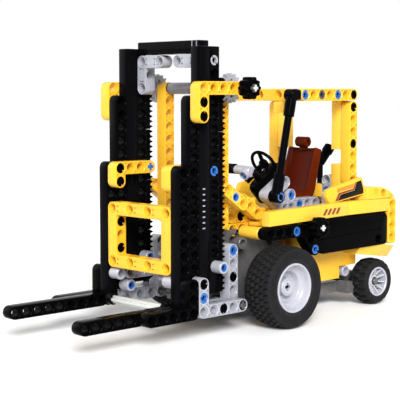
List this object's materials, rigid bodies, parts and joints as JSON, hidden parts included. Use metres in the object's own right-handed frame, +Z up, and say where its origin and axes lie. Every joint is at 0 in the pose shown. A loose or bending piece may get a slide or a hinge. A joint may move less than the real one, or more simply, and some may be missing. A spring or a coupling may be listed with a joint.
{
  "type": "toy forklift",
  "caption": "Pin-and-beam toy forklift with a tilting mast, a rack-driven lifting fork carriage, ribbed knobs, an open cab with seat and steering wheel, and rolling wheels.",
  "frame": {"origin": "on the ground under the middle of the bounding box at rest", "axes": "+Z up, the forks point to -Y, +X is the vehicle's left side"},
  "size_m": [0.1136, 0.2674, 0.1731],
  "materials": {
    "yellow_plastic": "glossy moulded",
    "black_plastic": "glossy moulded",
    "light_grey_plastic": "glossy moulded",
    "dark_grey_plastic": "glossy moulded",
    "brown_plastic": "glossy moulded",
    "blue_plastic": "glossy moulded",
    "tyre_rubber": "soft rubber"
  },
  "bodies": {
    "body": {"chassis": "dark_grey_plastic", "cab_floor": "light_grey_plastic", "lower_body": "yellow_plastic", "fender_beam_left": "black_plastic", "fender_beam_right": "black_plastic", "side_panel_left": "black_plastic", "side_panel_right": "black_plastic", "side_rail_left": "yellow_plastic", "side_rail_right": "yellow_plastic", "rear_frame": "yellow_plastic", "engine_cover": "yellow_plastic", "cab_frame_left": "yellow_plastic", "cab_frame_right": "yellow_plastic", "windscreen_strut_left": "black_plastic", "windscreen_strut_right": "black_plastic", "roof_frame": "yellow_plastic", "seat": "brown_plastic", "rear_axle": "dark_grey_plastic"},
    "mast": {"mast_post_left": "black_plastic", "mast_post_right": "black_plastic", "mast_top_bracket_left": "yellow_plastic", "mast_top_bracket_right": "yellow_plastic", "mast_rear_beam_left": "yellow_plastic", "mast_rear_beam_right": "yellow_plastic", "mast_foot_bracket_left": "light_grey_plastic", "mast_foot_bracket_right": "light_grey_plastic", "mast_foot_upright_left": "light_grey_plastic", "mast_foot_upright_right": "light_grey_plastic", "mast_pivot_axle": "dark_grey_plastic"},
    "carriage": {"slide_column_left": "black_plastic", "slide_column_right": "black_plastic", "lift_column_left": "black_plastic", "lift_column_right": "black_plastic", "rack_left": "black_plastic", "rack_right": "black_plastic", "top_crossbar": "black_plastic", "carriage_post_left": "black_plastic", "carriage_post_right": "black_plastic", "carriage_arm_left": "yellow_plastic", "carriage_arm_right": "yellow_plastic", "carriage_frame": "yellow_plastic", "fork_bracket_left": "black_plastic", "fork_bracket_right": "black_plastic", "fork_left": "black_plastic", "fork_right": "black_plastic"},
    "lift_shaft": {"lift_axle": "dark_grey_plastic", "lift_gear_left": "light_grey_plastic", "lift_gear_right": "light_grey_plastic", "lift_knob": "black_plastic"},
    "tilt_knob": {"tilt_knob": "black_plastic"},
    "front_wheels": {"front_axle": "dark_grey_plastic", "front_tyre_left": "tyre_rubber", "front_tyre_right": "tyre_rubber", "front_rim_left": "light_grey_plastic", "front_rim_right": "light_grey_plastic"},
    "rear_wheel_left": {"rear_tyre_left": "tyre_rubber", "rear_rim_left": "light_grey_plastic"},
    "rear_wheel_right": {"rear_tyre_right": "tyre_rubber", "rear_rim_right": "light_grey_plastic"},
    "steering_wheel": {"steering_wheel": "black_plastic"}
  },
  "joints": [
    {"name": "mast_tilt", "type": "hinge", "parent": "body", "child": "mast", "pos_m": [0, -0.01787, 0.0172], "axis": [1, 0, 0], "range_deg": [-4, 5]},
    {"name": "mast_lift", "type": "slide", "parent": "mast", "child": "carriage", "axis": [0, 0, 1], "range_m": [0, 0.094]},
    {"name": "lift_shaft_turn", "type": "hinge", "parent": "mast", "child": "lift_shaft", "pos_m": [0, -0.01787, 0.1452], "axis": [1, 0, 0], "range_deg": [-680, 0]},
    {"name": "tilt_knob_turn", "type": "hinge", "parent": "body", "child": "tilt_knob", "pos_m": [0.0488, 0.04492, 0.0588], "axis": [1, 0, 0], "range_deg": [-100, 125]},
    {"name": "front_wheels_turn", "type": "hinge", "parent": "body", "child": "front_wheels", "pos_m": [0, 0.01413, 0.0252], "axis": [1, 0, 0], "continuous": true},
    {"name": "rear_wheel_left_turn", "type": "hinge", "parent": "body", "child": "rear_wheel_left", "pos_m": [0.0328, 0.11812, 0.0156], "axis": [1, 0, 0], "continuous": true},
    {"name": "rear_wheel_right_turn", "type": "hinge", "parent": "body", "child": "rear_wheel_right", "pos_m": [-0.0328, 0.11812, 0.0156], "axis": [1, 0, 0], "continuous": true},
    {"name": "steering_wheel_turn", "type": "hinge", "parent": "body", "child": "steering_wheel", "pos_m": [0, 0.04693, 0.0964], "axis": [0, 0.8387, 0.5446], "continuous": true}
  ],
  "couplings": [
    {"joint": "lift_shaft_turn", "follows": "mast_lift", "rad_per_m": -125},
    {"joint": "tilt_knob_turn", "follows": "mast_tilt", "ratio": 24}
  ]
}
